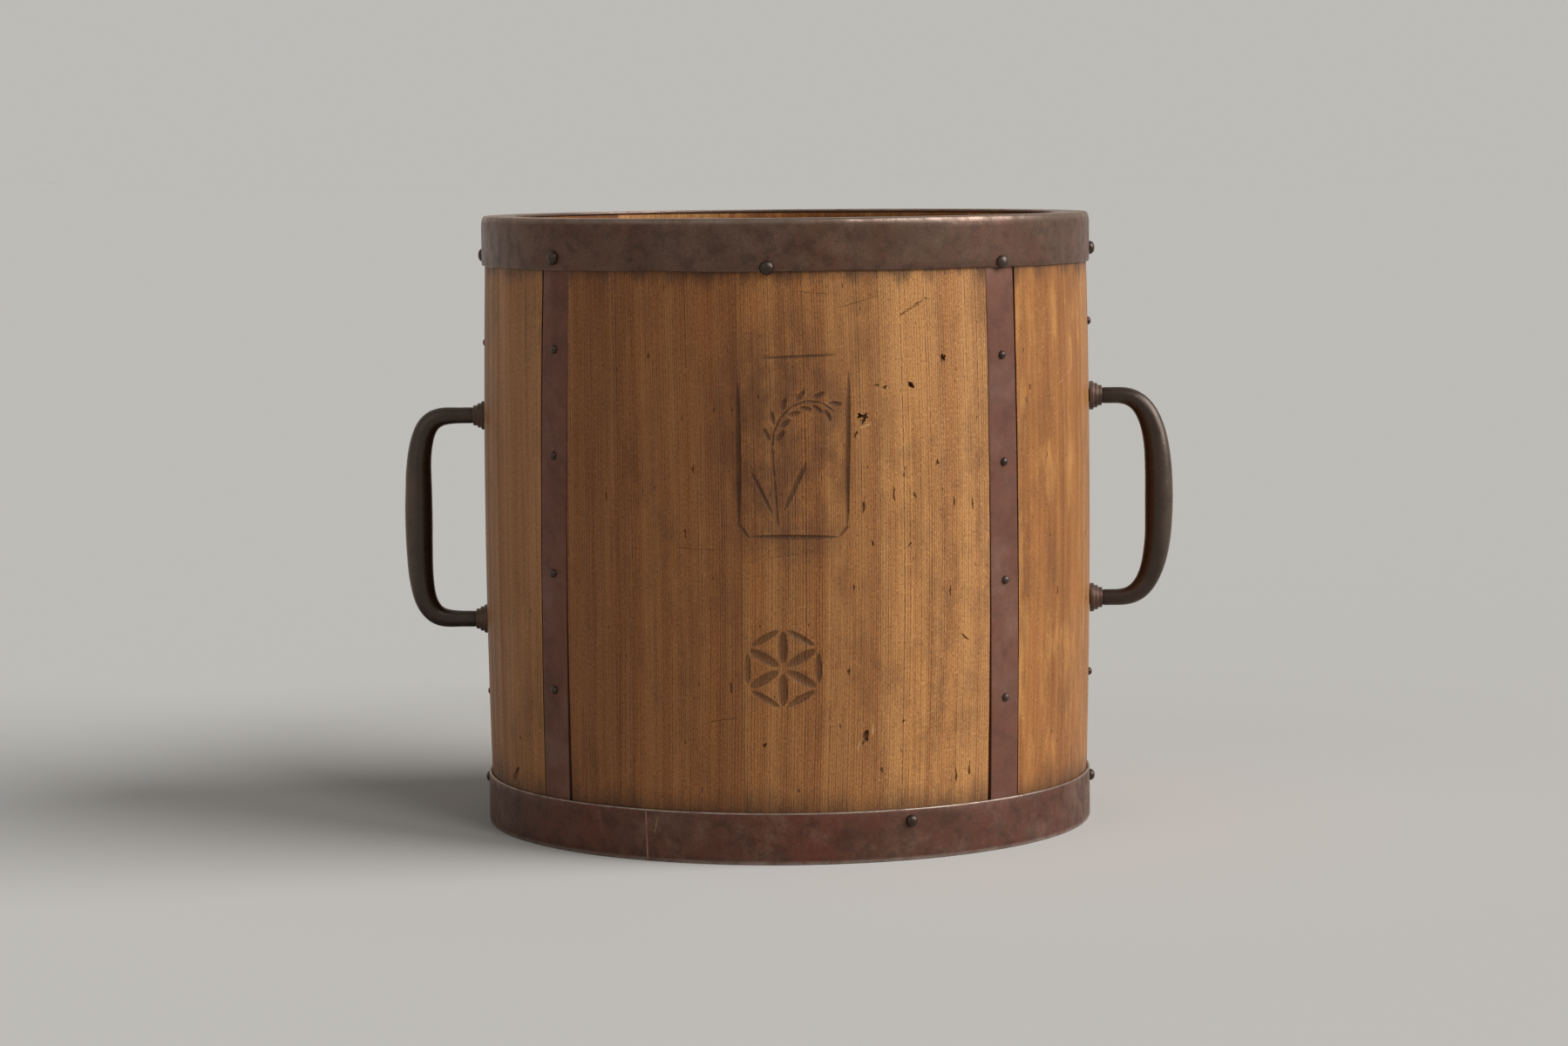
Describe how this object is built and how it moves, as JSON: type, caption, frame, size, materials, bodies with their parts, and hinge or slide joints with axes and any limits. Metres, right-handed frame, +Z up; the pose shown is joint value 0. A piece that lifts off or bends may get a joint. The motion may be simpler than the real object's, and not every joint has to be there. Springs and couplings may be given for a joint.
{
  "type": "round rice measure",
  "caption": "Round coopered wooden rice measure, open at the top, bound with iron hoops and flush upright straps, with a fixed iron handle on each side.",
  "frame": {"origin": "on the ground, under the middle of the tub", "axes": "+Z up, the pictured front towards -Y, the handles on +X and -X"},
  "size_m": [0.408, 0.3254, 0.319],
  "materials": {
    "stave_wood": "worn oiled conifer, honey brown",
    "floor_wood": "bare conifer",
    "hoop_iron": "brown rusted wrought iron, worn edges",
    "strap_iron": "red-brown rusted wrought iron",
    "handle_iron": "dark iron, handled smooth",
    "nail_iron": "dark domed iron"
  },
  "bodies": {
    "root": {"stave_front_left": "stave_wood", "stave_front_middle": "stave_wood", "stave_front_right": "stave_wood", "stave_right_front": "stave_wood", "stave_right_middle": "stave_wood", "stave_right_rear": "stave_wood", "stave_rear_right": "stave_wood", "stave_rear_middle": "stave_wood", "stave_rear_left": "stave_wood", "stave_left_rear": "stave_wood", "stave_left_middle": "stave_wood", "stave_left_front": "stave_wood", "bottom_board_front": "floor_wood", "bottom_board_rear": "floor_wood", "rim_hoop": "hoop_iron", "foot_hoop": "hoop_iron", "strap_front_right": "strap_iron", "strap_rear_right": "strap_iron", "strap_rear_left": "strap_iron", "strap_front_left": "strap_iron", "strap_right": "strap_iron", "strap_left": "strap_iron", "handle_right": "handle_iron", "handle_left": "handle_iron", "handle_washer_right_upper": "handle_iron", "handle_washer_right_lower": "handle_iron", "handle_washer_left_upper": "handle_iron", "handle_washer_left_lower": "handle_iron", "rim_nail_front": "nail_iron", "rim_nail_rear": "nail_iron", "rim_nail_front_right": "nail_iron", "rim_nail_rear_right": "nail_iron", "rim_nail_rear_left": "nail_iron", "rim_nail_front_left": "nail_iron", "rim_nail_right": "nail_iron", "rim_nail_left": "nail_iron", "foot_nail_front": "nail_iron", "foot_nail_rear": "nail_iron", "foot_nail_right": "nail_iron", "foot_nail_left": "nail_iron", "strap_nail_front_right_1": "nail_iron", "strap_nail_front_right_2": "nail_iron", "strap_nail_front_right_3": "nail_iron", "strap_nail_front_right_4": "nail_iron", "strap_nail_rear_right_1": "nail_iron", "strap_nail_rear_right_2": "nail_iron", "strap_nail_rear_right_3": "nail_iron", "strap_nail_rear_right_4": "nail_iron", "strap_nail_rear_left_1": "nail_iron", "strap_nail_rear_left_2": "nail_iron", "strap_nail_rear_left_3": "nail_iron", "strap_nail_rear_left_4": "nail_iron", "strap_nail_front_left_1": "nail_iron", "strap_nail_front_left_2": "nail_iron", "strap_nail_front_left_3": "nail_iron", "strap_nail_front_left_4": "nail_iron", "strap_nail_right_upper": "nail_iron", "strap_nail_right_lower": "nail_iron", "strap_nail_left_upper": "nail_iron", "strap_nail_left_lower": "nail_iron"}
  },
  "joints": []
}
